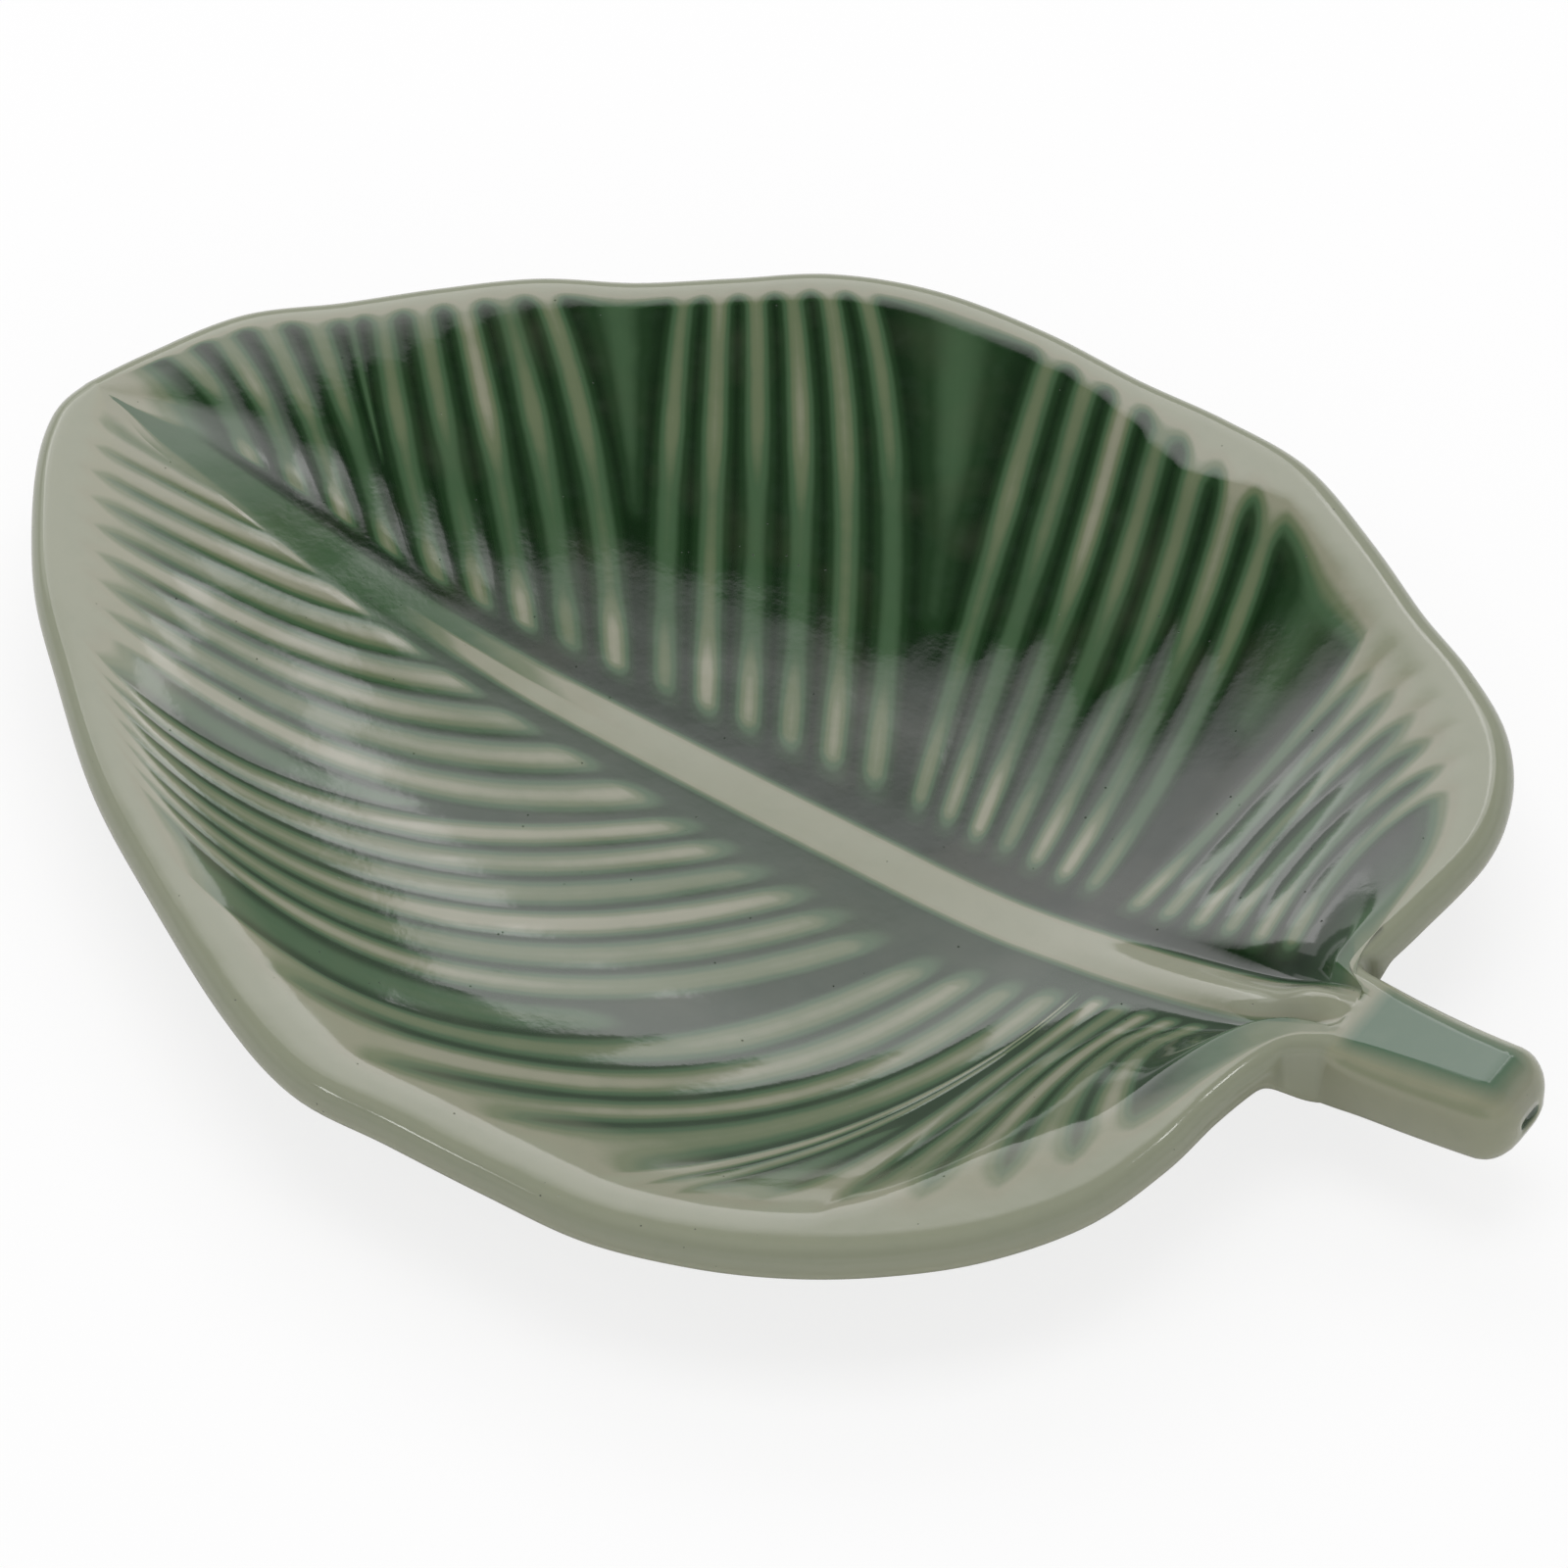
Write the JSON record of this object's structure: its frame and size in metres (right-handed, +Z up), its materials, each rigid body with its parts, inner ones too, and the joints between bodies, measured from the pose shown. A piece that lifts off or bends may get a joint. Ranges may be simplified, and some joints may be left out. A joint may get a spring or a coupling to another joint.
{
  "type": "leaf shaped plate",
  "caption": "Leaf-shaped glazed ceramic dish with a raised midrib, curved side veins, a wavy rounded rim, a short stalk handle and an unglazed foot ring.",
  "frame": {"origin": "centre of the outer sizes in plan, on the surface that the foot ring stands on", "axes": "+X along the midrib towards the end of the stalk, +Y to the left when looking from the tip to the stalk, +Z up out of the dish"},
  "size_m": [0.1806, 0.1354, 0.0184],
  "materials": {
    "green_glaze": "gloss",
    "stalk_glaze": "gloss",
    "bare_clay": "matte"
  },
  "bodies": {
    "root": {"leaf_blade": "green_glaze", "stalk": "stalk_glaze", "foot_ring": "bare_clay"}
  },
  "joints": []
}
